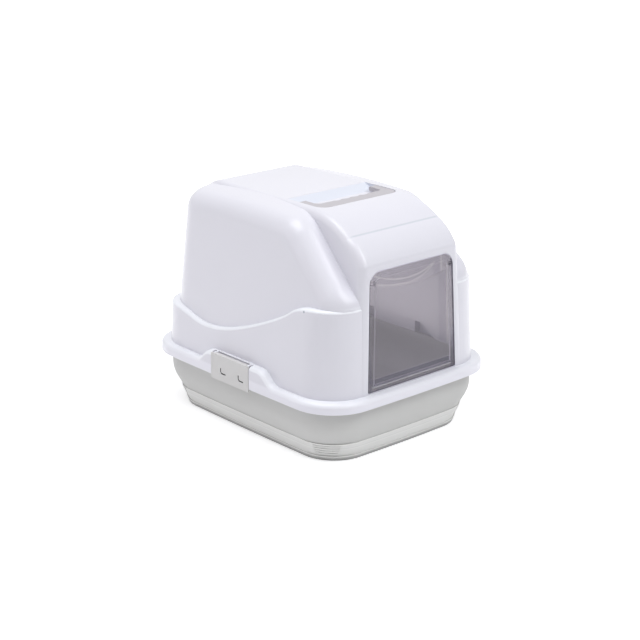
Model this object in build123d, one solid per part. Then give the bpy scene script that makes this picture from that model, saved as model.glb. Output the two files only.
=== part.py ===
"""Cat litter box with a lift-off hood: tray, hood, swing door, bail handle, side clips and filter.

Millimetres. Z is up, the door faces -Y and the origin is the middle of the tray's underside.
A moulded shell is a closed form less the same form drawn one wall inside it, so every function
that draws a form takes an inset: 0 for the outer surface and the wall for the inner one.
"""
from build123d import *
import os
from math import asin, cos, radians, sin, tan

# ---------------------------------------------------------------- overall plan
WIDTH = 400.0             # across the hood's rim
DEPTH = 500.0             # front to back over the hood's rim
BOW_SIDE = 2.6            # how far each long side swells beyond its corners
BOW_END = 4.2             # how far the front and the back swell
SEAT_GAP = 0.3            # air between pieces that rest on or pass each other
PIN_CLEARANCE = 0.08      # radial air round every hinge pin
SIDES = (-1, 1)           # left and right
REACH = WIDTH             # half length of a cutting slab, well outside the product
OVERCUT = 1.0             # how far a cutting shape passes the face that it cuts
PICK_SLACK = 0.5          # slack when edges are picked by their place

# ---------------------------------------------------------------- tray
TRAY_WALL = 2.8
TRAY_TOP = 112.0
TRAY_LIP_GAP = 1.0        # air between the tray's turned-down edge and the hood's
TRAY_LIP_DROP = 11.0
TRAY_WALL_LEVELS = (32.5, 45.0, 57.0, 76.0)     # the wall swells out above the band
TRAY_WALL_INSETS = (28.4, 22.3, 17.8, 15.4)
TRAY_WALL_CORNERS = (71.0, 73.0, 73.5, 74.0)
TRAY_MOUTH_INSET = 12.6
TRAY_MOUTH_CORNER = 75.0
BAND_BOTTOM = 8.5         # a plain band runs round the tray between foot and wall
BAND_TOP_INSET = 27.6
BAND_BOTTOM_INSET = 35.2
BAND_BOTTOM_CORNER = 67.0
FOOT_PROUD = 1.1
FOOT_INSET = 36.9
FOOT_CORNER = 65.0
RIB_COUNT = 4             # short ribs stiffen the band at each corner
RIB_HEIGHT = 2.4
RIB_PROUD = 0.9
RIB_START = 0.69          # the ribs begin this share of the way from the middle to the corner

# ---------------------------------------------------------------- hood: rim and skirt
HOOD_WALL = 3.0
RIM_BOTTOM = 98.0
RIM_CORNER = 80.0
RIM_ROUND = 8.0
SKIRT_INSET = 14.9        # the foot of the skirt, in from the edge of the rim at the sides
SKIRT_END_INSET = 17.0    # and in front and behind, where it swells less than the rim
SKIRT_BOW_END = 2.1
SKIRT_CORNER = 70.0
SKIRT_DRAFT = 2.7
BELT_REAR = 189.0         # the skirt's top edge is a wave: level at the back,
BELT_DIP = 175.5          # lowest a quarter of the way along the side
BELT_FRONT = 263.0        # and highest in front
BELT_RISE = 213.5
BELT_CREST = 243.0
BELT_REAR_PLACE = 190.0
BELT_DIP_PLACE = 112.0
BELT_RISE_PLACE = -60.0
BELT_CREST_PLACE = -120.0
BELT_FRONT_PLACE = -190.0
BELT_ROUND = 5.0

# ---------------------------------------------------------------- hood: cabin
CABIN_LEVEL = 200.0       # the next five sizes hold at this height
CABIN_HALF_WIDTH = 171.0
CABIN_REAR = 220.0
CABIN_FRONT = 232.4
CABIN_REAR_CORNER = 67.0
CABIN_FRONT_CORNER = 50.0
CABIN_DRAFT = 5.9
CABIN_BEHIND_SKIRT = 1.0  # below the belt the cabin stays this far inside the skirt
CABIN_ROUND = 37.0        # rounding of the roof's edges and of the sloping shoulders
ROOF_TILT = 8.0           # each half of the roof falls towards its side
CROWN_TOP = 397.4
CROWN_PLACE = 10.0
CROWN_REAR = 384.0
VISOR_PLACE = -99.0       # in front of this line the roof falls as two sloping shoulders
VISOR_HEIGHT = 393.5
VISOR_SLOPE = 44.0
VISOR_ROUND = 70.0

# ---------------------------------------------------------------- hood: spine and door frame
ROOF_TOP = 399.5
SPINE_LEVEL = 370.0       # half widths hold at this height
SPINE_REAR_HALF = 97.0
SPINE_FRONT_HALF = 109.0
SPINE_DRAFT = 3.3
SPINE_PROUD = 8.0         # the spine stands this far out of the cabin's back
FRAME_PROUD = 0.3         # and the foot of the door's frame this far out of the skirt
FRAME_LEAN = 1.9          # the frame and the door lean back less than the skirt
SPINE_EDGE_ROUND = 14.0
SPINE_REAR_ROUND = 62.0
CREASE_DROP = 29.5        # a crease crosses the spine where its curve steepens
CREASE_PLACE = -186.0
BROW_PLACE = -96.0        # the spine starts to curve down here
BROW_TOP = 328.0          # the curve meets the door's wall here
BROW_BULGE = 5.2
BROW_ROUND = 14.0

# ---------------------------------------------------------------- door
DOOR_BOTTOM = 118.2
DOOR_TALL = 199.0
DOOR_BOTTOM_HALF = 100.3
DOOR_TOP_HALF = 92.9
DOOR_CORNER = 21.0
DOOR_FOOT_CORNER = 1.5
DOOR_GAP = 1.2
DOOR_TOP_GAP = 1.5
DOOR_THICK = 2.6
DOOR_BORDER = 10.5        # flat strip outside the bead
DOOR_BEAD = 2.0
DOOR_BEAD_PROUD = 0.8
DOOR_PANEL_DEPTH = 0.6
DOOR_SILL_BAND = 9.0      # step across the foot of the pane
DOOR_PIN_BELOW_TOP = 19.0
DOOR_PIN_DEPTH = 4.0      # the hinge axis lies this far behind the door's face
DOOR_PIN_RADIUS = 2.2
DOOR_BARREL_RADIUS = 3.6
DOOR_BARREL_LENGTH = 12.0
DOOR_PIN_REACH = 7.0      # the pins stand this far out of the barrels
LUG_THICK = 4.0
LUG_WALL = 3.2            # plastic round a hinge bore
LUG_ROOT = 2.5            # the lugs grow out of the front wall from this far before the axis

# ---------------------------------------------------------------- carrying handle and its recess
RECESS_HALF = 88.0
RECESS_BACK = -19.0
RECESS_FRONT = -107.0
RECESS_DEPTH = 10.5
RECESS_SLOPE_RUN = 23.0
RECESS_CORNER = 18.0
HANDLE_GAP = 0.7
HANDLE_THICK = 8.0
HANDLE_BELOW_ROOF = 0.4
HANDLE_ARM = 14.5
HANDLE_GRIP = 27.0
HANDLE_PIVOT_PLACE = -50.0
HANDLE_PIN_RADIUS = 2.5
HANDLE_EDGE_BREAK = 1.0
HANDLE_INNER_CORNER = 9.0
HANDLE_PIN_REACH = 3.2
GROOVE_COUNT = 4          # finger grooves in the back of the grip
GROOVE_PITCH = 20.0
GROOVE_DEPTH = 3.0
GROOVE_RADIUS = 12.0

# ---------------------------------------------------------------- side clips
CLIP_LENGTH = 99.2
CLIP_MIDDLE = 1.0
CLIP_TOP = 138.0
CLIP_BOTTOM = 92.0
CLIP_THICK = 3.0
CLIP_PROUD = 0.8          # the clip's face stands this far out of the rim
CLIP_END_GAP = 0.9
CLIP_CORNER = 3.0
CLIP_EDGE_BREAK = 0.6
CLIP_POCKET_DEPTH = 12.0
SHOULDER_MIDDLE = -6.0
SHOULDER_HALF = 60.0      # the rim rises to shelter each clip
SHOULDER_RUN = 48.0
CLIP_PIN_RADIUS = 1.8
CLIP_PIN_INSET = 5.8      # in from the edge of the rim
KNUCKLE_RADIUS = 3.5      # the knuckle along the clip's top turns in the hood's pocket
KNUCKLE_LENGTH = 84.0
CLIP_LUG_THICK = 5.0
CLIP_LUG_WALL = 1.4
HOOK_TALL = 2.7           # the hooks reach under the tray's turned-down edge
HOOK_LENGTH = 16.0
SLIT_PLACES = (24.0, -23.0)
SLIT_LEVEL = 105.5
SLIT_TALL = 10.0
SLIT_LONG = 14.0
SLIT_WIDE = 2.2
SLIT_CORNER = 5.0

# ---------------------------------------------------------------- odour filter under the roof
VENT_COUNT = 8
VENT_PITCH = 14.0
VENT_WIDE = 4.0
VENT_MARGIN = 2.0
FILTER_LENGTH = 130.0
FILTER_WIDE = 54.0
FILTER_THICK = 7.0
COVER_WALL = 1.8
COVER_FLANGE = 4.0
RAIL_THICK = 2.0
FILTER_MIDDLE = -76.0
GRILLE_COUNT = 9
GRILLE_PITCH = 13.5
GRILLE_WIDE = 5.0

# ---------------------------------------------------------------- derived places
RIM_TOP = TRAY_TOP + SEAT_GAP + HOOD_WALL
SHOULDER_TOP = CLIP_TOP
PIVOT_HEIGHT = ROOF_TOP - HANDLE_BELOW_ROOF - HANDLE_THICK / 2
RECESS_FLOOR = ROOF_TOP - RECESS_DEPTH
CLIP_FACE = WIDTH / 2 + CLIP_PROUD
CLIP_BACK = CLIP_FACE - CLIP_THICK
CLIP_PIN_X = WIDTH / 2 - CLIP_PIN_INSET
CLIP_PIN_Z = CLIP_TOP - KNUCKLE_RADIUS
TRAY_EDGE = WIDTH / 2 - HOOD_WALL - TRAY_LIP_GAP
POCKET_BACK = WIDTH / 2 - CLIP_POCKET_DEPTH
BAND_TOP = TRAY_WALL_LEVELS[0]


# ---------------------------------------------------------------- shared shapes
def plan(inset, corner, height, front_corner=None):
    """The product's outline from above: a rectangle with bowed sides and round corners."""
    return plan_of(WIDTH / 2 - inset, DEPTH / 2 - inset, 0, corner, height, front_corner)


def plan_of(half_x, half_y, middle, corner, height, front_corner=None, bow_end=BOW_END):
    edge_x, edge_y = half_x - BOW_SIDE, half_y - bow_end
    sides = [
        ThreePointArc((edge_x, -edge_y), (half_x, 0), (edge_x, edge_y)),
        ThreePointArc((edge_x, edge_y), (0, half_y), (-edge_x, edge_y)),
        ThreePointArc((-edge_x, edge_y), (-half_x, 0), (-edge_x, -edge_y)),
        ThreePointArc((-edge_x, -edge_y), (0, -half_y), (edge_x, -edge_y)),
    ]
    face = make_face(Wire(sides))
    face = fillet(face.vertices().sort_by(Axis.Y)[-2:], corner)
    face = fillet(face.vertices().sort_by(Axis.Y)[:2], front_corner or corner)
    return Pos(0, middle, height) * face


def tower(*sections):
    return loft(list(sections), ruled=True)


def side_slab(edges):
    """A slab whose outline, drawn in the Y-Z plane, runs right across the product."""
    return extrude(Plane.YZ * make_face(Wire(edges)), REACH, both=True)


def polyline_edges(*points):
    return [Line(start, end) for start, end in zip(points, points[1:])]


def block(low, high):
    """A box between two corners."""
    size = [top - bottom for bottom, top in zip(low, high)]
    return Pos(*[(top + bottom) / 2 for bottom, top in zip(low, high)]) * Box(*size)


def bar_along_x(radius, start, end, y, z):
    return Pos((start + end) / 2, y, z) * Rot(0, 90, 0) * Cylinder(radius, abs(end - start))


def bar_along_y(radius, start, end, x, z):
    return Pos(x, (start + end) / 2, z) * Rot(90, 0, 0) * Cylinder(radius, abs(end - start))


def crosses(edge):
    """True for the straight lines that a profile leaves across the product."""
    box = edge.bounding_box()
    return box.size.X > WIDTH / 3 and box.size.Y < PICK_SLACK and box.size.Z < PICK_SLACK


def largest(shape):
    return shape.solids().sort_by(SortBy.VOLUME)[-1]


# ---------------------------------------------------------------- tray
def tray_wall(inset, over=0.0):
    sections = [
        plan(wall_inset + inset, corner - inset, level)
        for level, wall_inset, corner in zip(TRAY_WALL_LEVELS, TRAY_WALL_INSETS, TRAY_WALL_CORNERS)
    ]
    sections.append(plan(TRAY_MOUTH_INSET + inset, TRAY_MOUTH_CORNER - inset, TRAY_TOP + over))
    return loft(sections)


def band_inset(height):
    share = (height - BAND_BOTTOM) / (BAND_TOP - BAND_BOTTOM)
    return BAND_BOTTOM_INSET + (BAND_TOP_INSET - BAND_BOTTOM_INSET) * share


def band_slice(low, high, inset):
    corner = (BAND_BOTTOM_CORNER + TRAY_WALL_CORNERS[0]) / 2 - inset
    return tower(plan(band_inset(low) + inset, corner, low), plan(band_inset(high) + inset, corner, high))


def foot(inset):
    top_inset = BAND_BOTTOM_INSET - FOOT_PROUD + inset
    low = plan(FOOT_INSET + inset, FOOT_CORNER - inset, inset)
    return tower(low, plan(top_inset, BAND_BOTTOM_CORNER - inset, BAND_BOTTOM))


def corner_ribs():
    """Rings round the band, and the corner blocks that keep only their ends."""
    pitch = (BAND_TOP - BAND_BOTTOM) / (RIB_COUNT + 1)
    ribs = []
    for number in range(RIB_COUNT):
        low = BAND_BOTTOM + pitch * (number + 1) - RIB_HEIGHT / 2
        ribs.append(band_slice(low, low + RIB_HEIGHT, -RIB_PROUD))
    start_x, start_y = WIDTH / 2 * RIB_START, DEPTH / 2 * RIB_START
    corner = block((start_x, start_y, 0), (WIDTH, DEPTH, TRAY_TOP))
    rear = corner + mirror(corner, Plane.YZ)
    return ribs, rear + mirror(rear, Plane.XZ)


def tray_rim(inset):
    edge = WIDTH / 2 - TRAY_EDGE + inset
    corner = RIM_CORNER - edge
    bottom = plan(edge, corner, TRAY_TOP - TRAY_LIP_DROP - inset)
    form = tower(bottom, plan(edge, corner, TRAY_TOP - inset))
    return fillet(form.faces().sort_by(Axis.Z)[-1].edges(), RIM_ROUND - edge)


def tray():
    outside = tray_wall(0) + band_slice(BAND_BOTTOM, BAND_TOP, 0) + foot(0)
    ribs, corners = corner_ribs()
    for rib in ribs:
        outside += rib & corners
    outside += tray_rim(0) - tray_rim(TRAY_WALL)
    inside = tray_wall(TRAY_WALL, OVERCUT) + band_slice(BAND_BOTTOM, BAND_TOP, TRAY_WALL) + foot(TRAY_WALL)
    return largest(outside - inside)


# ---------------------------------------------------------------- hood: its closed form
def front_face(height):
    """Y of the front wall, which leans back."""
    return SKIRT_END_INSET - FRAME_PROUD - DEPTH / 2 + (height - RIM_TOP) * tan(radians(FRAME_LEAN))


def skirt_tower(inset, floor):
    """The skirt's walls carried up to the roof."""
    def section(height):
        draft = (height - RIM_TOP) * tan(radians(SKIRT_DRAFT)) + inset
        return plan_of(WIDTH / 2 - SKIRT_INSET - draft, DEPTH / 2 - SKIRT_END_INSET - draft, 0,
                       SKIRT_CORNER - draft, height, bow_end=SKIRT_BOW_END)

    return tower(section(floor), section(ROOF_TOP))


def skirt(inset):
    rear, dip = (BELT_REAR_PLACE, BELT_REAR - inset), (BELT_DIP_PLACE, BELT_DIP - inset)
    rise, crest = (BELT_RISE_PLACE, BELT_RISE - inset), (BELT_CREST_PLACE, BELT_CREST - inset)
    front = (BELT_FRONT_PLACE, BELT_FRONT - inset)
    wave = Spline(rear, dip, rise, crest, front, tangents=[(-1, 0), (-1, 0)])
    below = polyline_edges(front, (-DEPTH, front[1]), (-DEPTH, 0), (DEPTH, 0), (DEPTH, rear[1]), rear)
    body = largest(skirt_tower(inset, RIM_BOTTOM - inset) & side_slab([wave, *below]))
    top = [edge for edge in body.edges()
           if edge.bounding_box().min.Z > BELT_DIP - inset - BELT_ROUND and not crosses(edge)]
    return fillet(top, max(BELT_ROUND - inset, BELT_ROUND / 4))


def cabin_half(inset):
    """The right half of the cabin, outside the spine."""
    def section(height):
        draft = (height - CABIN_LEVEL) * tan(radians(CABIN_DRAFT)) + inset
        return plan_of(CABIN_HALF_WIDTH - draft, (CABIN_REAR + CABIN_FRONT) / 2 - draft,
                       (CABIN_REAR - CABIN_FRONT) / 2, CABIN_REAR_CORNER - draft, height,
                       CABIN_FRONT_CORNER - draft)

    def side_face(across):
        """Outline of the roof and the shoulder's slope, at a distance from the middle."""
        drop = (across - SPINE_REAR_HALF) * tan(radians(ROOF_TILT)) + inset
        rear = (DEPTH / 2, CROWN_REAR - drop)
        brow_drop = drop - inset
        brow = (VISOR_PLACE - brow_drop / tan(radians(VISOR_SLOPE)), VISOR_HEIGHT - drop)
        crown = ThreePointArc(rear, (CROWN_PLACE, CROWN_TOP - drop), brow)
        run = brow[0] + DEPTH / 2
        toe = (-DEPTH / 2, brow[1] - run * tan(radians(VISOR_SLOPE)))
        below = polyline_edges(brow, toe, (-DEPTH / 2, 0), (DEPTH / 2, 0), rear)
        profile = make_face(Wire([crown, *below]))
        profile = fillet(profile.vertices().sort_by_distance((*brow, 0))[0], VISOR_ROUND)
        return Pos(across, 0, 0) * (Plane.YZ * profile)

    slab = tower(side_face(-SPINE_REAR_HALF), side_face(WIDTH / 2))
    body = largest(tower(section(RIM_BOTTOM - inset), section(ROOF_TOP + CABIN_ROUND)) & slab)
    roof = [edge for edge in body.edges()
            if edge.bounding_box().max.Z > BELT_FRONT and edge.center().X > 0 and not crosses(edge)
            and edge.bounding_box().min.Z > RIM_BOTTOM + inset]
    body = fillet(roof, CABIN_ROUND - inset)
    inner_edge = SPINE_REAR_HALF - SPINE_EDGE_ROUND
    half = body & block((inner_edge, -DEPTH, 0), (WIDTH, DEPTH, WIDTH + DEPTH))
    return largest(half & skirt_tower(inset + CABIN_BEHIND_SKIRT, RIM_BOTTOM - inset))


def spine(inset):
    """The raised band over the roof, whose front end frames the door."""
    def section(height):
        spread = (SPINE_LEVEL - height) * tan(radians(SPINE_DRAFT)) - inset
        front, rear = SPINE_FRONT_HALF + spread, SPINE_REAR_HALF + spread
        corners = [(-front, -DEPTH / 2), (front, -DEPTH / 2), (rear, DEPTH / 2), (-rear, DEPTH / 2)]
        return Pos(0, 0, height) * make_face(Polyline(*corners, close=True))

    def rear_face(height):
        return CABIN_REAR + SPINE_PROUD - inset - (height - CABIN_LEVEL) * tan(radians(CABIN_DRAFT))

    top = ROOF_TOP - inset
    floor = RIM_BOTTOM - inset
    start = (BROW_PLACE, top)
    run, drop = BROW_PLACE - CREASE_PLACE, CREASE_DROP
    radius = (run ** 2 + drop ** 2) / (2 * drop)
    half_turn = asin(run / radius) / 2
    halfway = (start[0] - radius * sin(half_turn), top - radius + radius * cos(half_turn))
    crease = (CREASE_PLACE + inset * sin(2 * half_turn), top - drop)
    chin = (front_face(BROW_TOP) + inset, BROW_TOP - inset / 2)
    outward = (Vector(*crease) - Vector(*chin)).rotate(Axis.Z, 90).normalized()
    bulge = (Vector(*crease) + Vector(*chin)) / 2 + outward * BROW_BULGE
    rear_foot, rear_corner = rear_face(BELT_REAR), (rear_face(top), top)
    outline = [
        ThreePointArc(start, halfway, crease),
        ThreePointArc(crease, bulge, chin),
        *polyline_edges(chin, (front_face(floor) + inset, floor), (rear_foot, floor),
                        (rear_foot, BELT_REAR), rear_corner, start),
    ]
    profile = make_face(Wire(outline))
    profile = fillet(profile.vertices().sort_by_distance((*rear_corner, 0))[0], SPINE_REAR_ROUND - inset)
    profile = fillet(profile.vertices().sort_by_distance((*chin, 0))[0], BROW_ROUND - inset)
    slab = extrude(Plane.YZ * profile, REACH, both=True)
    body = largest(tower(section(floor), section(ROOF_TOP + inset)) & slab)
    edges = [edge for edge in body.edges()
             if not crosses(edge) and (edge.bounding_box().max.Z > BROW_TOP or edge.center().Y > 0)
             and edge.bounding_box().size.X < DEPTH / 4]
    return fillet(edges, SPINE_EDGE_ROUND - inset)


def rim(inset):
    """The turned-down rim, which rises over each side clip."""
    def prism(top):
        corner = RIM_CORNER - inset
        return tower(plan(inset, corner, RIM_BOTTOM - inset), plan(inset, corner, top))

    low, high = RIM_TOP - inset, SHOULDER_TOP - inset
    steps = [SHOULDER_MIDDLE + side * (SHOULDER_HALF + run)
             for side, run in ((1, SHOULDER_RUN), (1, 0), (-1, 0), (-1, SHOULDER_RUN))]
    rear = Spline((steps[0], low), (steps[1], high), tangents=[(-1, 0), (-1, 0)])
    front = Spline((steps[2], high), (steps[3], low), tangents=[(-1, 0), (-1, 0)])
    floor = RIM_BOTTOM - inset
    below = polyline_edges((steps[3], low), (steps[3], floor), (steps[0], floor), (steps[0], low))
    shoulders = side_slab([rear, Line((steps[1], high), (steps[2], high)), front, *below])
    body = largest(prism(low) + (prism(high + inset + OVERCUT) & shoulders))
    edges = [edge for edge in body.edges()
             if edge.bounding_box().min.Z > low - PICK_SLACK and not crosses(edge)]
    return fillet(edges, RIM_ROUND - inset)


def handle_recess(inset):
    """The pocket in the roof that the handle folds into; its back slopes down for the fingers."""
    slope = RECESS_DEPTH / RECESS_SLOPE_RUN
    fall = inset * (1 + slope ** 2) ** 0.5
    floor, mouth = RECESS_FLOOR - inset, ROOF_TOP + RECESS_DEPTH

    def slope_place(height):
        return RECESS_BACK + (height + fall - ROOF_TOP) / slope

    front = RECESS_FRONT - inset
    profile = polyline_edges((slope_place(mouth), mouth), (slope_place(floor), floor), (front, floor),
                             (front, mouth), (slope_place(mouth), mouth))
    pocket = extrude(Plane.YZ * make_face(Wire(profile)), RECESS_HALF + inset, both=True)
    upright = pocket.edges().filter_by(Axis.Z).sort_by(Axis.Y)[:2]
    return fillet(upright, RECESS_CORNER + inset)


def clip_pocket(side, inset):
    """Behind each clip the rim is cut away and the wall steps back."""
    half = CLIP_LENGTH / 2 + CLIP_END_GAP + inset
    near, far = side * (POCKET_BACK - inset), side * (CLIP_FACE + OVERCUT)
    floor = RIM_TOP - HOOD_WALL if inset else RIM_BOTTOM - OVERCUT
    return block((min(near, far), CLIP_MIDDLE - half, floor),
                 (max(near, far), CLIP_MIDDLE + half, SHOULDER_TOP + RIM_ROUND + inset))


def closed_hood(inset):
    half = cabin_half(inset)
    form = skirt(inset) + spine(inset) + rim(inset) + half + mirror(half, Plane.YZ)
    form -= handle_recess(inset)
    for side in SIDES:
        form -= clip_pocket(side, inset)
    return largest(form)


# ---------------------------------------------------------------- hood: details
def door_plane():
    """The door's own plane: X across, Y up the leaning front wall and Z out of it."""
    lean = radians(FRAME_LEAN)
    return Plane(origin=(0, front_face(DOOR_BOTTOM), DOOR_BOTTOM), x_dir=(1, 0, 0),
                 z_dir=(0, -cos(lean), sin(lean)))


def door_outline(grow, top_grow=0.0):
    low, high, top = DOOR_BOTTOM_HALF + grow, DOOR_TOP_HALF + grow, DOOR_TALL + grow + top_grow
    face = make_face(Polyline((-low, -grow), (low, -grow), (high, top), (-high, top), close=True))
    face = fillet(face.vertices().sort_by(Axis.Y)[-2:], DOOR_CORNER + grow)
    return fillet(face.vertices().sort_by(Axis.Y)[:2], max(DOOR_FOOT_CORNER + grow, DOOR_FOOT_CORNER / 2))


def door_axis():
    """Y and Z of the door's hinge line."""
    place = door_plane().from_local_coords(Vector(0, DOOR_TALL - DOOR_PIN_BELOW_TOP, -DOOR_PIN_DEPTH))
    return place.Y, place.Z


def door_barrel_end():
    """Half the width over the hinge barrels, just inside the door's edge."""
    share = (DOOR_TALL - DOOR_PIN_BELOW_TOP) / DOOR_TALL
    edge = DOOR_BOTTOM_HALF + (DOOR_TOP_HALF - DOOR_BOTTOM_HALF) * share
    into_corner = DOOR_CORNER - DOOR_PIN_BELOW_TOP
    return edge - DOOR_CORNER + (DOOR_CORNER ** 2 - into_corner ** 2) ** 0.5 - DOOR_GAP


def door_lug(side):
    y, z = door_axis()
    start = door_barrel_end() + DOOR_PIN_REACH - LUG_THICK + SEAT_GAP
    near, far = sorted((side * start, side * (start + LUG_THICK)))
    radius = DOOR_PIN_RADIUS + PIN_CLEARANCE + LUG_WALL
    eye = bar_along_x(radius, near, far, y, z) & block((near, y, z - radius), (far, y + radius, z + radius))
    return eye + block((near, y - LUG_ROOT, z - radius), (far, y, z + radius))


def door_bore(side):
    y, z = door_axis()
    start = door_barrel_end()
    return bar_along_x(DOOR_PIN_RADIUS + PIN_CLEARANCE, side * start,
                       side * (start + DOOR_PIN_REACH + 2 * SEAT_GAP), y, z)


def vents():
    front = RECESS_FRONT + VENT_MARGIN
    rear = RECESS_FRONT + HANDLE_GAP + HANDLE_GRIP - GROOVE_DEPTH - VENT_MARGIN
    slot = block((-VENT_WIDE / 2, front, RECESS_FLOOR - HOOD_WALL - OVERCUT),
                 (VENT_WIDE / 2, rear, RECESS_FLOOR + OVERCUT))
    return [Pos(place, 0, 0) * slot for place in pitch_places(VENT_COUNT, VENT_PITCH)]


def pitch_places(count, pitch):
    return [(number - (count - 1) / 2) * pitch for number in range(count)]


def filter_levels():
    """Top of the cover's flange, underside of the flange, underside of the cover."""
    top = RECESS_FLOOR - HOOD_WALL - SEAT_GAP
    return top, top - COVER_WALL, top - COVER_WALL - FILTER_THICK - SEAT_GAP


def cover_half():
    return FILTER_LENGTH / 2 + SEAT_GAP + COVER_WALL, FILTER_WIDE / 2 + SEAT_GAP + COVER_WALL


def filter_rail(side):
    """An L-shaped rail under the roof; the cover's flange lies on its foot."""
    _, seat, _ = filter_levels()
    half_x, half_y = cover_half()
    inner, outer = half_x + SEAT_GAP, half_x + COVER_FLANGE + SEAT_GAP + RAIL_THICK
    ceiling = RECESS_FLOOR - HOOD_WALL / 2
    foot_block = block((inner, -half_y, seat - RAIL_THICK), (outer, half_y, seat))
    web = block((outer - RAIL_THICK, -half_y, seat - RAIL_THICK), (outer, half_y, ceiling))
    stop = block((inner, -half_y - RAIL_THICK, seat - RAIL_THICK), (outer, -half_y - SEAT_GAP, ceiling))
    rail = foot_block + web + stop
    if side < 0:
        rail = mirror(rail, Plane.YZ)
    return Pos(0, FILTER_MIDDLE, 0) * rail


def clip_lug(side, end):
    """An eye in a clip's pocket, just beyond one end of the clip's knuckle."""
    radius = CLIP_PIN_RADIUS + PIN_CLEARANCE + CLIP_LUG_WALL
    start = CLIP_MIDDLE + end * (KNUCKLE_LENGTH / 2 + SEAT_GAP)
    near, far = sorted((start, start + end * CLIP_LUG_THICK))
    root, tip = sorted((side * (POCKET_BACK - HOOD_WALL / 2), side * CLIP_PIN_X))
    eye = bar_along_y(radius, near, far, side * CLIP_PIN_X, CLIP_PIN_Z)
    return eye + block((root, near, CLIP_PIN_Z - radius), (tip, far, CLIP_PIN_Z + radius))


def clip_bore(side):
    reach = KNUCKLE_LENGTH / 2 + CLIP_LUG_THICK + OVERCUT
    return bar_along_y(CLIP_PIN_RADIUS + PIN_CLEARANCE, CLIP_MIDDLE - reach, CLIP_MIDDLE + reach,
                       side * CLIP_PIN_X, CLIP_PIN_Z)


def hood_shell():
    shell = closed_hood(0) - closed_hood(HOOD_WALL)
    shell -= extrude(door_plane() * door_outline(DOOR_GAP, DOOR_TOP_GAP - DOOR_GAP), LUG_ROOT + HOOD_WALL,
                     both=True)
    for side in SIDES:
        shell += door_lug(side)
        shell += filter_rail(side)
        for end in SIDES:
            shell += clip_lug(side, end)
        shell -= door_bore(side)
        shell -= clip_bore(side)
    reach = RECESS_HALF + HANDLE_PIN_REACH
    shell -= bar_along_x(HANDLE_PIN_RADIUS + PIN_CLEARANCE, -reach, reach, HANDLE_PIVOT_PLACE, PIVOT_HEIGHT)
    for vent in vents():
        shell -= vent
    return largest(shell)


# ---------------------------------------------------------------- swing door
def door_panel():
    """A clear pane with a bead round it; the hinge barrels and pins are moulded on its back."""
    pane = extrude(door_outline(0), -DOOR_THICK)
    ring = door_outline(-DOOR_BORDER) - door_outline(-DOOR_BORDER - DOOR_BEAD)
    pane += extrude(ring, DOOR_BEAD_PROUD)
    pane -= extrude(door_outline(-DOOR_BORDER - DOOR_BEAD), -DOOR_PANEL_DEPTH)
    sill = DOOR_BORDER + DOOR_BEAD
    half_sill = DOOR_BOTTOM_HALF - sill - DOOR_GAP
    pane += block((-half_sill, sill, -DOOR_THICK), (half_sill, sill + DOOR_SILL_BAND, 0))
    panel = door_plane() * pane
    y, z = door_axis()
    start = door_barrel_end()
    for side in SIDES:
        panel += bar_along_x(DOOR_BARREL_RADIUS, side * (start - DOOR_BARREL_LENGTH), side * start, y, z)
        panel += bar_along_x(DOOR_PIN_RADIUS, side * start, side * (start + DOOR_PIN_REACH), y, z)
    return largest(panel)


# ---------------------------------------------------------------- carrying handle
def carry_handle():
    """A flat U: two arms, a grip with finger grooves, and a pin at the end of each arm."""
    half, front = RECESS_HALF - HANDLE_GAP, RECESS_FRONT + HANDLE_GAP
    rear, grip_rear = HANDLE_PIVOT_PLACE, front + HANDLE_GRIP
    outline = Pos(0, (front + rear) / 2) * Rectangle(2 * half, rear - front)
    outline = fillet(outline.vertices().sort_by(Axis.Y)[:2], RECESS_CORNER - HANDLE_GAP)
    window = Pos(0, grip_rear + HANDLE_GRIP) * Rectangle(2 * (half - HANDLE_ARM), 2 * HANDLE_GRIP)
    window = fillet(window.vertices().sort_by(Axis.Y)[:2], HANDLE_INNER_CORNER)
    outline -= window
    for place in pitch_places(GROOVE_COUNT, GROOVE_PITCH):
        outline -= Pos(place, grip_rear + GROOVE_RADIUS - GROOVE_DEPTH) * Circle(GROOVE_RADIUS)
    body = Pos(0, 0, PIVOT_HEIGHT - HANDLE_THICK / 2) * extrude(outline, HANDLE_THICK)
    rims = [edge for edge in body.edges()
            if edge.bounding_box().size.Z < HANDLE_EDGE_BREAK
            and edge.bounding_box().min.Y < rear - PICK_SLACK]
    body = chamfer(rims, HANDLE_EDGE_BREAK)
    for side in SIDES:
        body += bar_along_x(HANDLE_THICK / 2, side * (half - HANDLE_ARM), side * half, rear, PIVOT_HEIGHT)
        body += bar_along_x(HANDLE_PIN_RADIUS, side * half, side * (half + HANDLE_PIN_REACH), rear,
                            PIVOT_HEIGHT)
    return largest(body)


# ---------------------------------------------------------------- side clips
def clip_slit(place):
    """A hooked slit through the plate, which leaves room behind it for the mould of a hook."""
    upright = Pos(place, SLIT_LEVEL + SLIT_TALL / 2) * Rectangle(SLIT_WIDE, SLIT_TALL)
    level = Rectangle(SLIT_LONG, SLIT_WIDE)
    outline = upright + Pos(place + (SLIT_WIDE - SLIT_LONG) / 2, SLIT_LEVEL + SLIT_WIDE / 2) * level
    outer = (place + SLIT_WIDE / 2, SLIT_LEVEL, 0)
    inner = (place - SLIT_WIDE / 2, SLIT_LEVEL + SLIT_WIDE, 0)
    outline = fillet(outline.vertices().sort_by_distance(outer)[0], SLIT_CORNER)
    outline = fillet(outline.vertices().sort_by_distance(inner)[0], SLIT_CORNER - SLIT_WIDE)
    return Pos(CLIP_FACE, 0, 0) * extrude(Plane.YZ * outline, CLIP_THICK + OVERCUT, both=True)


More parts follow.
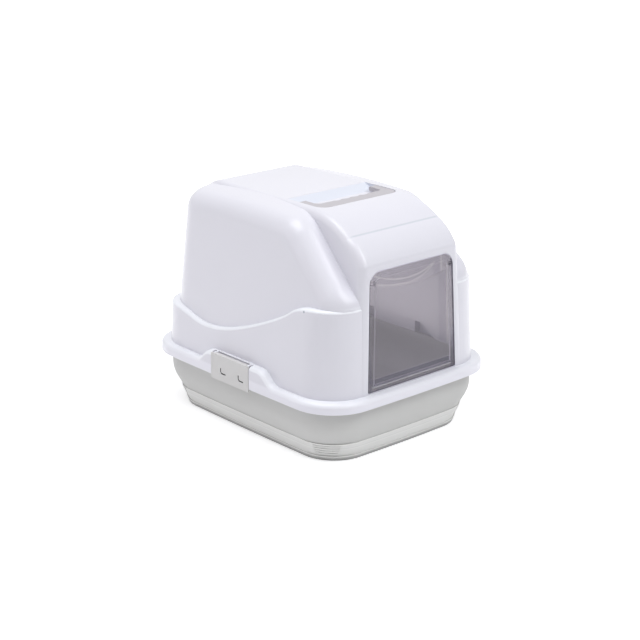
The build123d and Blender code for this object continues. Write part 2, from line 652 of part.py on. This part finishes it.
def right_clip():
    """A plate in the hood's rim; its knuckle turns on two pins and its hooks hold the tray's edge."""
    tall = CLIP_TOP - CLIP_BOTTOM
    outline = Pos(CLIP_MIDDLE, CLIP_BOTTOM + tall / 2) * Rectangle(CLIP_LENGTH, tall)
    outline = fillet(outline.vertices(), CLIP_CORNER)
    plate = Pos(CLIP_BACK, 0, 0) * extrude(Plane.YZ * outline, CLIP_THICK)
    clip = chamfer(plate.faces().sort_by(Axis.X)[-1].edges(), CLIP_EDGE_BREAK)
    root = CLIP_BACK + CLIP_THICK / 2
    hook_top = TRAY_TOP - TRAY_LIP_DROP - SEAT_GAP
    for place in SLIT_PLACES:
        near, far = place - (HOOK_LENGTH + SLIT_LONG) / 2, place + (HOOK_LENGTH - SLIT_LONG) / 2
        clip += block((TRAY_EDGE + SEAT_GAP, near, hook_top - HOOK_TALL), (root, far, hook_top))
        clip -= clip_slit(place)
    near, far = CLIP_MIDDLE - KNUCKLE_LENGTH / 2, CLIP_MIDDLE + KNUCKLE_LENGTH / 2
    clip += bar_along_y(KNUCKLE_RADIUS, near, far, CLIP_PIN_X, CLIP_PIN_Z)
    clip += block((CLIP_PIN_X, near, CLIP_PIN_Z - KNUCKLE_RADIUS), (root, far, CLIP_PIN_Z + KNUCKLE_RADIUS))
    clip += bar_along_y(CLIP_PIN_RADIUS, near - CLIP_LUG_THICK, far + CLIP_LUG_THICK, CLIP_PIN_X, CLIP_PIN_Z)
    return largest(clip)


# ---------------------------------------------------------------- odour filter
def filter_cover():
    """A shallow slotted box; the flanges at its ends lie on the rails."""
    top, seat, floor = filter_levels()
    half_x, half_y = cover_half()
    cover = block((-half_x, -half_y, floor), (half_x, half_y, top))
    cover += block((-half_x - COVER_FLANGE, -half_y, seat), (half_x + COVER_FLANGE, half_y, top))
    cover = fillet(cover.edges().filter_by(Axis.Z), COVER_WALL / 2)
    cover -= block((COVER_WALL - half_x, COVER_WALL - half_y, floor + COVER_WALL),
                   (half_x - COVER_WALL, half_y - COVER_WALL, top + OVERCUT))
    half_slot = FILTER_WIDE / 2 - GRILLE_WIDE
    slot = block((-GRILLE_WIDE / 2, -half_slot, floor - OVERCUT),
                 (GRILLE_WIDE / 2, half_slot, floor + COVER_WALL + OVERCUT))
    for place in pitch_places(GRILLE_COUNT, GRILLE_PITCH):
        cover -= Pos(place, 0, 0) * slot
    return Pos(0, FILTER_MIDDLE, 0) * cover


def charcoal_filter():
    _, _, floor = filter_levels()
    pad = fillet(Rectangle(FILTER_LENGTH, FILTER_WIDE).vertices(), COVER_WALL)
    return Pos(0, FILTER_MIDDLE, floor + COVER_WALL) * extrude(pad, FILTER_THICK)


# ---------------------------------------------------------------- export
def main():
    clip = right_clip()
    nodes = {
        "tray": tray(),
        "hood_shell": hood_shell(),
        "door_panel": door_panel(),
        "carry_handle": carry_handle(),
        "clip_left": mirror(clip, Plane.YZ),
        "clip_right": clip,
        "filter_cover": filter_cover(),
        "charcoal_filter": charcoal_filter(),
    }
    os.makedirs("parts", exist_ok=True)
    for name, shape in nodes.items():
        export_step(shape, f"parts/{name}.step")


main()
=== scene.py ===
"""Looks for the hooded cat litter box: moulded plastics, a smoked door and a pale studio round the frame."""
from math import cos, pi, radians, sin

import bpy
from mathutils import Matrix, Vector


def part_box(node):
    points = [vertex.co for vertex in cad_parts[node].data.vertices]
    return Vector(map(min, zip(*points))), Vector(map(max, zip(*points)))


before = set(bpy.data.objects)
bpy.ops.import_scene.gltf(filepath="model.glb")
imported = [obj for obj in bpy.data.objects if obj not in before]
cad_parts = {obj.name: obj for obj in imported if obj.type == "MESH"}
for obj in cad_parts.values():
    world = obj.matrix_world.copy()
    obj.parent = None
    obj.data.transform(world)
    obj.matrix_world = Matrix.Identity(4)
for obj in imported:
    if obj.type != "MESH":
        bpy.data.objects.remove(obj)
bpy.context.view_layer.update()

# Lengths are in metres. A colour is red, green and blue. A ramp is (where it starts, where it is full), and
# a strip is (from, to, width of its soft border).
WHITE = (1.0, 1.0, 1.0)

# ---------------------------------------------------------------- places in the frame
boxes = [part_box(node) for node in ("door_panel", "hood_shell", "carry_handle", "clip_left")]
door, hood, handle, clip = boxes
DOOR_FOOT, DOOR_HALF = door[0].z, door[1].x
HOOD_FRONT, HOOD_FOOT = hood[0].y, hood[0].z
HOOD_HALF, HOOD_TOP = hood[1].x, hood[1].z
HANDLE_HALF, HANDLE_REAR = handle[1].x, handle[1].y
CLIP_FRONT, CLIP_REAR, CLIP_FOOT = clip[0].y, clip[1].y, clip[0].z

# ---------------------------------------------------------------- camera
AZIMUTH = -41.643         # degrees round the box; at 0 the camera stands straight before the door
ELEVATION = 18.554
DISTANCE = 2.77108        # from the aim point
AIM = Vector((0, 0, 0.170))
LENS = 89.254             # millimetres, on a sensor of this width
SENSOR = 36
SHIFT = (0.00166, -0.00644)

# ---------------------------------------------------------------- lights, floor and world
SKY_ZENITH = 0.69         # light from straight overhead, which fades to none at the horizon
LAMPS = (
    # name, place, size, watts, colour
    ("top", (-0.6, 0.2, 2.4), 1.3, 20, (0.98, 1.0, 1.02)),
    ("left_rear", (-2.2, 1.2, 1.3), 1.6, 7.5, (1.0, 0.97, 1.03)),
    ("front_high", (0.55, -1.85, 2.3), 1.6, 29, (0.98, 1.0, 1.02)),
)
LAMP_AIM = Vector((0, 0, 0.2))
CABIN_GLOW = 0.48         # watts; stands for the light that comes through the hood's white wall
CABIN_COLOUR = (1.0, 0.98, 1.0)
CABIN_PLACE = (0.0, 0.0, HOOD_FOOT + 0.008)
CABIN_SIZE = (0.26, 0.34)
FLOOR_HALF = 30.0         # from its middle to its sides
FLOOR_DROP = 0.0005       # how far under the tray's foot it lies
FLOOR_ALBEDO = (0.86, 0.86, 0.87)
FLOOR_BOUNCE = 0.16       # light the white sweep throws back up
FLOOR_LIFT = (0.47, 1.0)  # lifts the floor to the backdrop's white: round the foot, far away
FLOOR_FADE = (0.32, 0.75)  # distances from the middle between which the lift grows

# ---------------------------------------------------------------- moulded plastics
HOOD_WHITE = (0.765, 0.755, 0.82)
TRAY_GREY = (0.625, 0.623, 0.610)
CLIP_GREY = (0.69, 0.68, 0.675)
HANDLE_GREY = (0.50, 0.475, 0.505)
FLEECE_BLACK = (0.03, 0.03, 0.03)
PLASTIC_IOR = 1.49
COAT_ROUGHNESS = 0.2
CLOUD_SCALE = 9
CLOUD_DARK = 0.985        # the clouds' brightness at their darkest
CLOUD_WEAR = (0.9, 1.1)   # how they vary the roughness
GRAIN_RELIEF = 0.001

# ---------------------------------------------------------------- smoked pane
PANE_ROUGHNESS = 0.09
PANE_TINT = (0.835, 0.820, 0.805)       # light that gets through each of the pane's faces
PANE_FOOT_TINT = (0.862, 0.850, 0.842)  # and through their lower part
PANE_SHADE_TINT = (0.70, 0.69, 0.73)          # and through the band of painted shade across the foot and the painted shadow streaks
PANE_CLEAR = 0.86                       # share of a face that is see-through; the rest is haze and gleam
PANE_FACE = (0.55, 0.85)                # ramp: how squarely a face has to look forwards or back
PANE_BORDER = (DOOR_HALF - 0.0093, DOOR_HALF - 0.0097)          # ramp in from its side borders
PANE_FOOT = (DOOR_FOOT + 0.0055, DOOR_FOOT + 0.0059)            # ramp up from its border at the foot
PANE_LOW = (DOOR_FOOT + 0.082, DOOR_FOOT + 0.022)               # ramp down to its lower part
PANE_GLEAM_LINE = (DOOR_FOOT + 0.0065, DOOR_FOOT + 0.0077, 0.0003)    # strip: a painted highlight line over the foot
PANE_SHADE_BAND = (DOOR_FOOT + 0.0081, DOOR_FOOT + 0.0194, 0.0012)    # strip: a band of painted shade over the highlight line
PANE_SHADOW_STREAK = (DOOR_HALF - 0.0077, DOOR_HALF - 0.0037, 0.0008)  # strip: painted shadow streaks by the lower corners
# the painted highlight line's colour
GLEAM_LINE_COLOUR = (0.85, 0.84, 0.88)
GLEAM_LINE_HAZE = 0.28                       # share of the painted highlight line that is less see-through
EDGE_SHADES = ((0.15, 0.14, 0.19), (0.80, 0.78, 0.84))  # cut edges, painted dark as the shade in the gap round the pane, and the steps inside the border
HAZE_SHADES = ((0.47, 0.46, 0.54), (0.51, 0.50, 0.58))
HAZE_SCALE = 6

# ---------------------------------------------------------------- painted light and shade on the tray
OUTSIDE = (0.01, 0.05)                  # ramp: the walls' faces that look away from the middle
BRIGHTEST = 1.6                         # the shades are kept as shares of this brightness
TRAY_SHADES = (                         # height and brightness: painted shade on the foot, painted light on the band, painted highlights on a fine line and the ledge
    (0.0, 0.52), (0.003, 0.62), (0.0055, 0.96), (0.008, 1.44), (0.011, 1.32),
    (0.0210, 1.32), (0.0222, 1.46), (0.0234, 1.20), (0.0246, 1.32),
    (0.030, 1.32), (0.0322, 1.58), (0.0335, 0.88), (0.037, 1.0),
)

# ---------------------------------------------------------------- painted light and shade on the hood
ROOF_CREASE = (HOOD_FRONT + 0.0632, HOOD_FRONT + 0.0642, 0.0018)  # strip: painted shade where the crown turns down
CREASE_HEIGHT = (HOOD_TOP - 0.0445, HOOD_TOP - 0.0395)            # ramp up to the crown
CREASE_ENDS = (DOOR_HALF + 0.0038, DOOR_HALF - 0.0082)            # ramp in from the crown's sides
CREASE_SHADE = (0.62, 0.64, 0.70)
RECESS_SLOPE = (HANDLE_REAR + 0.004, HANDLE_REAR + 0.0267, 0.0005)  # strip: painted shade on the slope behind the handle
RECESS_HEIGHT = (HOOD_TOP - 0.0113, HOOD_TOP - 0.0008, 0.0003)      # strip: its heights
RECESS_SIDES = (HANDLE_HALF - 0.0020, HANDLE_HALF - 0.0025)         # ramp in from its sides
RECESS_SHADE = (0.72, 0.745, 0.83)
RIM = (HOOD_FOOT + 0.0185, HOOD_FOOT + 0.0145)        # ramp down to the rolled rim, which is painted lighter
RIM_PAINTED_LIGHT = (0.84, 0.83, 0.90)
BELT_CREST = (HOOD_FOOT + 0.170, HOOD_FOOT + 0.166)   # ramp down to the belt's crest
FACING_UP = (0.12, 0.40)                              # ramp: faces that look up, as the belt's ledge does
# painted highlights on faces that look up: the belt's ledge and the rolled rim
LEDGE_HIGHLIGHT = (0.92, 0.93, 0.98)
RIM_HIGHLIGHT = (0.865, 0.865, 0.925)
GATE_MARK = (HOOD_FRONT + 0.087, HOOD_FOOT + 0.1588)  # the dimple the mould left on each side, painted as a dark dot of shade: place and height
GATE_DOT = (0.0024, 0.0012)                           # ramp in from its edge
GATE_SIDES = (HOOD_HALF - 0.0299, HOOD_HALF - 0.0279)  # ramp out to the walls that carry it
GATE_SHADE = (0.40, 0.44, 0.50)
INSIDE = (-0.10, -0.13)                               # ramp: the walls' faces that look to the middle
# the two lines of the belt's step inside the hood, painted as shade and highlights: places from its front
# and heights over its foot
WAVE_LOW = ((0.130, 0.164), (0.170, 0.127), (0.230, 0.099), (0.292, 0.084))
WAVE_HIGH = ((0.130, 0.165), (0.170, 0.135), (0.230, 0.1095), (0.292, 0.101))
WAVE_ENDS = (HOOD_FRONT + WAVE_LOW[0][0], HOOD_FRONT + WAVE_LOW[-1][0], 0.002)  # strip
WAVE_LINE = (-0.0008, 0.0008, 0.0012)                 # strip: heights about each line
WAVE_OVER = (0.0, 0.001)                              # ramp up from the lower line to the wall over it
CORNER_FOLDS = (HOOD_FRONT + 0.116, HOOD_FRONT + 0.132, 0.003)  # strip: painted shade in the folds inside the front corners
FOLD_RIM = (HOOD_FRONT + 0.111, HOOD_FRONT + 0.113, 0.002)      # strip: their painted highlight edge
INNER_SHADE = (0.66, 0.65, 0.72)
INNER_LIGHT = (0.96, 0.95, 0.98)

# ---------------------------------------------------------------- painted shade on the clips
SLIT_WALLS = (0.5, 0.3)                               # ramp: faces that don't look out to the side
SLITS_ALONG = (CLIP_FRONT + 0.0146, CLIP_REAR - 0.0166, 0.001)  # strips that hold both slits
SLITS_HEIGHT = (CLIP_FOOT + 0.0115, CLIP_FOOT + 0.0245, 0.001)
SLIT_SHADE = (0.10, 0.10, 0.10)


# ---------------------------------------------------------------- nodes
def feed(tree, socket, value):
    """Puts a number, a colour or another node's output on a socket."""
    if not isinstance(value, (int, float, tuple)):
        tree.links.new(value, socket)
    elif socket.type == "RGBA":
        socket.default_value = (*value, 1)
    else:
        socket.default_value = value


def add_node(tree, kind, **values):
    """A node with values on the sockets of those names, where a _ stands for a space."""
    node = tree.nodes.new("ShaderNode" + kind)
    for name, value in values.items():
        feed(tree, node.inputs[name.replace("_", " ")], value)
    return node


def fill(tree, node, *values):
    """Feeds a node's sockets in their order."""
    for socket, value in zip(node.inputs, values):
        feed(tree, socket, value)
    return node.outputs


def calculate(tree, kind, operation, *values):
    """The outputs of a Math or VectorMath node."""
    node = tree.nodes.new("ShaderNode" + kind)
    node.operation = operation
    return fill(tree, node, *values)


def number(tree, operation, *values):
    return calculate(tree, "Math", operation, *values)[0]


def overlap(tree, first, *others):
    """Where all these masks hold."""
    for other in others:
        first = number(tree, "MULTIPLY", first, other)
    return first


def ramp(tree, value, start, end, low=0.0, high=1.0):
    """From low, where the value is at start or before it, to high, where it is at end or past it."""
    limits = {"From_Min": start, "From_Max": end, "To_Min": low, "To_Max": high}
    return add_node(tree, "MapRange", Value=value, **limits).outputs[0]


def strip(tree, value, low, high, soft):
    """1 between two limits, fading over a soft border."""
    return overlap(tree, ramp(tree, value, low - soft, low), ramp(tree, value, high + soft, high))


def curve(tree, value, points):
    """A smooth line through (place, height) points of the hood, level beyond its ends."""
    start, end = points[0][0], points[-1][0]
    share = ramp(tree, value, HOOD_FRONT + start, HOOD_FRONT + end)
    node = add_node(tree, "FloatCurve", Value=share)
    knots = node.mapping.curves[0].points
    while len(knots) < len(points):
        knots.new(0.5, 0.5)
    for knot, (place, height) in zip(knots, points):
        knot.location = ((place - start) / (end - start), HOOD_FOOT + height)
    node.mapping.update()
    return node.outputs[0]


def blend(tree, share, first, second, mode="MIX"):
    """The first colour where share is 0, mixed with the second where it is 1."""
    node = tree.nodes.new("ShaderNodeMixRGB")
    node.blend_type = mode
    return fill(tree, node, share, first, second)[0]


def noise(tree, place, scale, detail=2):
    return add_node(tree, "TexNoise", Vector=place, Scale=scale, Detail=detail).outputs["Fac"]


def mix_shaders(tree, share, first, second):
    node = tree.nodes.new("ShaderNodeMixShader")
    return fill(tree, node, share, first.outputs[0], second.outputs[0])[0]


def split(tree, vector):
    """The x, y and z of a vector."""
    return add_node(tree, "SeparateXYZ", Vector=vector).outputs


def coordinates(tree):
    """The place of a point in the frame at rest, and the way that its surface looks."""
    node = tree.nodes.new("ShaderNodeTexCoord")
    return node.outputs["Object"], node.outputs["Normal"]


def outward(tree, place, normal):
    """Above 0 on faces that look away from the box's upright middle line, below 0 on the others."""
    flat = [calculate(tree, "VectorMath", "MULTIPLY", vector, (1.0, 1.0, 0.0))[0]
            for vector in (normal, place)]
    return calculate(tree, "VectorMath", "DOT_PRODUCT", *flat)["Value"]


def seen_by_eye(tree):
    """1 for rays that show the backdrop: straight from the camera, mirrored or through glass."""
    rays = tree.nodes.new("ShaderNodeLightPath").outputs
    seen = number(tree, "MAXIMUM", rays["Is Camera Ray"], rays["Is Glossy Ray"])
    return number(tree, "MAXIMUM", seen, rays["Is Transmission Ray"])


# ---------------------------------------------------------------- studio
def add_object(name, data, place):
    item = bpy.data.objects.new(name, data)
    item.location = place
    bpy.context.collection.objects.link(item)
    return item


def add_camera():
    turn, rise = radians(AZIMUTH), radians(ELEVATION)
    back = Vector((sin(turn) * cos(rise), -cos(turn) * cos(rise), sin(rise)))
    data = bpy.data.cameras.new("camera")
    data.lens = LENS
    data.sensor_width = SENSOR
    data.shift_x, data.shift_y = SHIFT
    camera = add_object("camera", data, AIM + back * DISTANCE)
    camera.rotation_euler = back.to_track_quat("Z", "Y").to_euler()
    bpy.context.scene.camera = camera


def add_lamp(name, place, power, colour):
    data = bpy.data.lights.new(name, "AREA")
    data.energy = power
    data.color = colour
    lamp = add_object(name, data, place)
    lamp.visible_camera = False
    return lamp


def add_lamps():
    for name, place, size, power, colour in LAMPS:
        lamp = add_lamp(name, place, power, colour)
        lamp.data.size = size
        lamp.rotation_euler = (Vector(place) - LAMP_AIM).to_track_quat("Z", "Y").to_euler()
    cabin = add_lamp("cabin", CABIN_PLACE, CABIN_GLOW, CABIN_COLOUR)
    cabin.data.shape = "RECTANGLE"
    cabin.data.size, cabin.data.size_y = CABIN_SIZE
    cabin.rotation_euler = (pi, 0, 0)
    cabin.visible_glossy = False


def add_world():
    """White to the eye; as a light, a soft glow from overhead."""
    world = bpy.data.worlds.new("studio")
    bpy.context.scene.world = world
    world.use_nodes = True
    tree = world.node_tree
    tree.nodes.clear()
    place = tree.nodes.new("ShaderNodeTexCoord").outputs["Generated"]
    overhead = split(tree, place)["Z"]
    sky = add_node(tree, "Background", Color=WHITE, Strength=ramp(tree, overhead, 0, 1, 0, SKY_ZENITH))
    backdrop = add_node(tree, "Background", Color=WHITE)
    add_node(tree, "OutputWorld", Surface=mix_shaders(tree, seen_by_eye(tree), sky, backdrop))


def add_floor():
    mesh = bpy.data.meshes.new("floor")
    half = FLOOR_HALF
    corners = [(-half, -half, 0), (half, -half, 0), (half, half, 0), (-half, half, 0)]
    mesh.from_pydata(corners, [], [(0, 1, 2, 3)])
    floor = add_object("floor", mesh, (0, 0, -FLOOR_DROP))
    material = bpy.data.materials.new("floor")
    material.use_nodes = True
    tree = material.node_tree
    tree.nodes.clear()
    place, _ = coordinates(tree)
    away = calculate(tree, "VectorMath", "LENGTH", place)["Value"]
    seen = overlap(tree, seen_by_eye(tree), ramp(tree, away, *FLOOR_FADE, *FLOOR_LIFT))
    glow = add_node(tree, "Emission", Color=WHITE, Strength=number(tree, "MAXIMUM", seen, FLOOR_BOUNCE))
    lit = add_node(tree, "BsdfDiffuse", Color=FLOOR_ALBEDO)
    total = fill(tree, tree.nodes.new("ShaderNodeAddShader"), lit.outputs[0], glow.outputs[0])
    add_node(tree, "OutputMaterial", Surface=total[0])
    mesh.materials.append(material)


# ---------------------------------------------------------------- materials
def new_material(name):
    """A plastic with its node tree and its shader."""
    material = bpy.data.materials.new(name)
    material.use_nodes = True
    tree = material.node_tree
    shader = tree.nodes["Principled BSDF"]
    feed(tree, shader.inputs["IOR"], PLASTIC_IOR)
    return material, tree, shader


def painted(material):
    """A plastic's node tree, its colour socket and the colour that it has so far."""
    tree = material.node_tree
    socket = tree.nodes["Principled BSDF"].inputs["Base Color"]
    return tree, socket, socket.links[0].from_socket


def moulded(name, colour, roughness, grain=0.0004, depth=0.02, coat=0.0):
    """Injection-moulded plastic: an even colour with faint clouds and a fine spark-eroded grain.

    grain is the size of its specks, depth the strength of their relief and coat the share of clear gloss.
    """
    material, tree, shader = new_material(name)
    place, _ = coordinates(tree)
    clouds = noise(tree, place, CLOUD_SCALE, 3)
    speck = noise(tree, place, 1 / grain)
    bump = add_node(tree, "Bump", Height=speck, Strength=depth, Distance=GRAIN_RELIEF)
    darker = tuple(part * CLOUD_DARK for part in colour)
    wear = [roughness * share for share in CLOUD_WEAR]
    looks = {
        "Base Color": blend(tree, clouds, darker, colour),
        "Roughness": ramp(tree, clouds, 0, 1, *wear),
        "Normal": bump.outputs[0],
        "Coat Weight": coat,
        "Coat Roughness": COAT_ROUGHNESS,
    }
    for socket, value in looks.items():
        feed(tree, shader.inputs[socket], value)
    return material


def smoked_pane():
    """Thin smoked acrylic: see-through faces, with painted shade on cut edges, a foot band and corner
    streaks, and a painted highlight line.
    """
    material, tree, shader = new_material("smoked_pane")
    place, normal = coordinates(tree)
    across, _, height = split(tree, place)
    across = number(tree, "ABSOLUTE", across)
    face = ramp(tree, number(tree, "ABSOLUTE", split(tree, normal)["Y"]), *PANE_FACE)
    field = ramp(tree, across, *PANE_BORDER)
    low = ramp(tree, height, *PANE_LOW)
    gleam_line = overlap(tree, strip(tree, height, *PANE_GLEAM_LINE), field)
    shade_band = overlap(tree, strip(tree, height, *PANE_SHADE_BAND), field)
    shadow_streak = overlap(tree, strip(tree, across, *PANE_SHADOW_STREAK), low)
    edge = blend(tree, overlap(tree, field, ramp(tree, height, *PANE_FOOT)), *EDGE_SHADES)
    haze = blend(tree, noise(tree, place, HAZE_SCALE), *HAZE_SHADES)
    colour = blend(tree, face, edge, blend(tree, gleam_line, haze, GLEAM_LINE_COLOUR))
    feed(tree, shader.inputs["Base Color"], colour)
    feed(tree, shader.inputs["Roughness"], PANE_ROUGHNESS)
    through = blend(tree, low, PANE_TINT, PANE_FOOT_TINT)
    through = blend(tree, number(tree, "MAXIMUM", shade_band, shadow_streak), through, PANE_SHADE_TINT)
    clear = add_node(tree, "BsdfTransparent", Color=through)
    share = overlap(tree, face, number(tree, "MULTIPLY_ADD", gleam_line, -GLEAM_LINE_HAZE, PANE_CLEAR))
    surface = mix_shaders(tree, share, shader, clear)
    feed(tree, tree.nodes["Material Output"].inputs["Surface"], surface)
    return material


def shade_tray(material):
    """The tray's outer wall by height: painted shade on the foot, painted light on the band, painted
    highlights on a line and the ledge.
    """
    tree, socket, colour = painted(material)
    place, normal = coordinates(tree)
    top = TRAY_SHADES[-1][0]
    shades = add_node(tree, "ValToRGB", Fac=ramp(tree, split(tree, place)["Z"], 0, top))
    stops = shades.color_ramp.elements
    while len(stops) < len(TRAY_SHADES):
        stops.new(1.0)
    for stop, (level, brightness) in zip(stops, TRAY_SHADES):
        stop.position = level / top
        stop.color = (*[brightness / BRIGHTEST] * 3, 1)
    outside = ramp(tree, outward(tree, place, normal), *OUTSIDE)
    shade = blend(tree, outside, (1 / BRIGHTEST,) * 3, shades.outputs["Color"])
    shade = blend(tree, 1.0, shade, (BRIGHTEST,) * 3, "MULTIPLY")
    feed(tree, socket, blend(tree, 1.0, colour, shade, "MULTIPLY"))
    return material


def shade_crease(tree, place, colour):
    """Painted shade along the crease over the door, and painted cool shade on the slope behind the handle.
    """
    across, along, height = split(tree, place)
    across = number(tree, "ABSOLUTE", across)
    crease = overlap(tree, strip(tree, along, *ROOF_CREASE), ramp(tree, height, *CREASE_HEIGHT),
                     ramp(tree, across, *CREASE_ENDS))
    slope = overlap(tree, strip(tree, along, *RECESS_SLOPE), strip(tree, height, *RECESS_HEIGHT),
                    ramp(tree, across, *RECESS_SIDES))
    return blend(tree, slope, blend(tree, crease, colour, CREASE_SHADE), RECESS_SHADE)


def shade_inner_walls(tree, place, normal, colour):
    """Painted shade over the belt's step and in the front corners' folds, and painted highlights along them,
    on the hood's inner walls.
    """
    _, along, height = split(tree, place)
    inside = ramp(tree, outward(tree, place, normal), *INSIDE)
    reach = overlap(tree, strip(tree, along, *WAVE_ENDS), inside)
    over = [number(tree, "SUBTRACT", height, curve(tree, along, line)) for line in (WAVE_LOW, WAVE_HIGH)]
    shaded = overlap(tree, ramp(tree, over[0], *WAVE_OVER), reach)
    fold = overlap(tree, strip(tree, along, *CORNER_FOLDS), inside)
    for mask in (shaded, fold):
        colour = blend(tree, mask, colour, INNER_SHADE)
    lines = number(tree, "MAXIMUM", *[strip(tree, gap, *WAVE_LINE) for gap in over])
    rim = overlap(tree, strip(tree, along, *FOLD_RIM), inside)
    return blend(tree, number(tree, "MAXIMUM", overlap(tree, lines, reach), rim), colour, INNER_LIGHT)


def paint_edge_highlights(tree, place, normal, colour):
    """Painted light on the rolled rim; painted highlights where faces look up below the belt's crest, as its
    rounded ledge does.
    """
    height, upward = split(tree, place)["Z"], split(tree, normal)["Z"]
    rim = ramp(tree, height, *RIM)
    ledge = overlap(tree, ramp(tree, upward, *FACING_UP), ramp(tree, height, *BELT_CREST))
    gleam = blend(tree, rim, LEDGE_HIGHLIGHT, RIM_HIGHLIGHT)
    return blend(tree, ledge, blend(tree, rim, colour, RIM_PAINTED_LIGHT), gleam)


def shade_gate_dimples(tree, place, colour):
    """A small round dot on each side, painted dark as the shade in the dimple where the mould was filled."""
    across, *spot = split(tree, place)
    gaps = [number(tree, "SUBTRACT", value, middle) for value, middle in zip(spot, GATE_MARK)]
    squares = [number(tree, "MULTIPLY", gap, gap) for gap in gaps]
    away = number(tree, "SQRT", number(tree, "ADD", *squares))
    side = ramp(tree, number(tree, "ABSOLUTE", across), *GATE_SIDES)
    return blend(tree, overlap(tree, ramp(tree, away, *GATE_DOT), side), colour, GATE_SHADE)


def shade_hood(material):
    """Painted shade and highlights on the white hood: crease, recess slope, inner walls, rim, ledge and gate
    dimples.
    """
    tree, socket, colour = painted(material)
    place, normal = coordinates(tree)
    colour = shade_crease(tree, place, colour)
    colour = shade_inner_walls(tree, place, normal, colour)
    colour = paint_edge_highlights(tree, place, normal, colour)
    feed(tree, socket, shade_gate_dimples(tree, place, colour))
    return material


def shade_slits(material):
    """The walls of the clip's two slits and its hooks lie in deep shade."""
    tree, socket, colour = painted(material)
    place, normal = coordinates(tree)
    _, along, height = split(tree, place)
    wall = ramp(tree, number(tree, "ABSOLUTE", split(tree, normal)["X"]), *SLIT_WALLS)
    shade = overlap(tree, wall, strip(tree, along, *SLITS_ALONG), strip(tree, height, *SLITS_HEIGHT))
    feed(tree, socket, blend(tree, shade, colour, SLIT_SHADE))
    return material


def dress(material, *nodes):
    """Gives nodes of the frame a material."""
    for node in nodes:
        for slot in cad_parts[node].material_slots:
            slot.material = material


add_camera()
add_world()
add_floor()
add_lamps()

white_plastic = shade_hood(moulded("white_plastic", HOOD_WHITE, roughness=0.38, coat=0.45))
clip_plastic = shade_slits(moulded("clip_plastic", CLIP_GREY, roughness=0.5))
dress(white_plastic, "hood_shell", "filter_cover")
dress(clip_plastic, "clip_left", "clip_right")
dress(shade_tray(moulded("tray_plastic", TRAY_GREY, roughness=0.5)), "tray")
dress(moulded("handle_plastic", HANDLE_GREY, roughness=0.42), "carry_handle")
dress(moulded("filter_fleece", FLEECE_BLACK, roughness=0.9, grain=0.002, depth=0.5), "charcoal_filter")
dress(smoked_pane(), "door_panel")

bpy.context.scene.view_settings.view_transform = "Standard"
